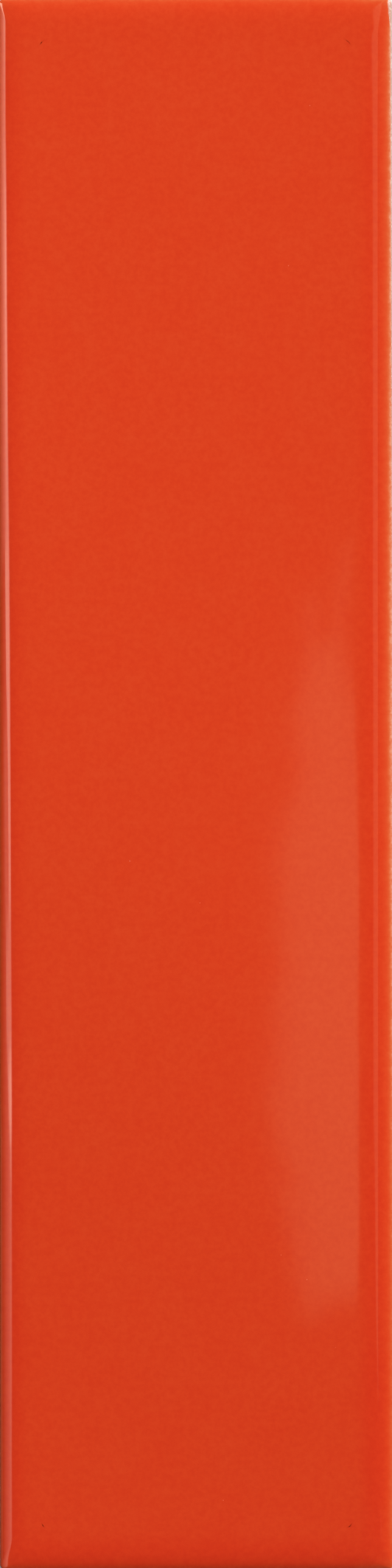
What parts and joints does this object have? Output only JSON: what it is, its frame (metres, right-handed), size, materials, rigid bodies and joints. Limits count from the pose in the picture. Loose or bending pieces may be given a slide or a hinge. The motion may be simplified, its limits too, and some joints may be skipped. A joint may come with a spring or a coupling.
{
  "type": "field tile",
  "caption": "Slim rectangular glazed ceramic wall tile with a softly rolled face edge, bare sides and a grooved back.",
  "frame": {"origin": "centre of the back, which lies flat on the floor or the adhesive bed at Z = 0", "axes": "+Z out of the glazed face, +Y along the tile's length, +X across its width"},
  "size_m": [0.075, 0.299, 0.008],
  "materials": {
    "glaze": "high-gloss red-orange glaze on the face, bare cream body on the sides and back"
  },
  "bodies": {
    "root": {"field_tile": "glaze"}
  },
  "joints": []
}
